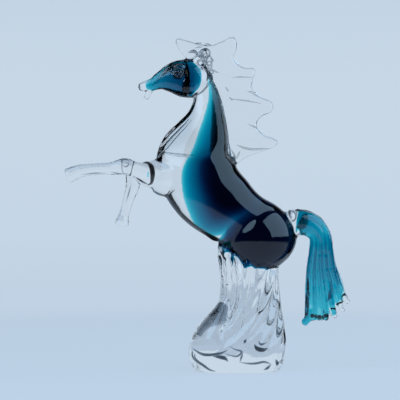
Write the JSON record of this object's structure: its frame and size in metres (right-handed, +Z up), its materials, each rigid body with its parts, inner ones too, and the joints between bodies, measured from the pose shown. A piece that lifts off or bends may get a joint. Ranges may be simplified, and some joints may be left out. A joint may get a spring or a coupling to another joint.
{
  "type": "glass horse figurine",
  "caption": "Rearing horse of clear and blue hot-worked glass on its own flat foot, with a flat clear mane and a stranded tail.",
  "frame": {"origin": "centre of the flat underside of the foot", "axes": "+Z up, -X the way the horse faces, -Y its left side with the raised foreleg"},
  "size_m": [0.2572, 0.0677, 0.2996],
  "materials": {
    "clear_glass": "polished clear glass",
    "blue_core": "deep teal blue glass sealed in the clear glass"
  },
  "bodies": {
    "root": {"crystal_horse": "clear_glass"}
  },
  "joints": []
}
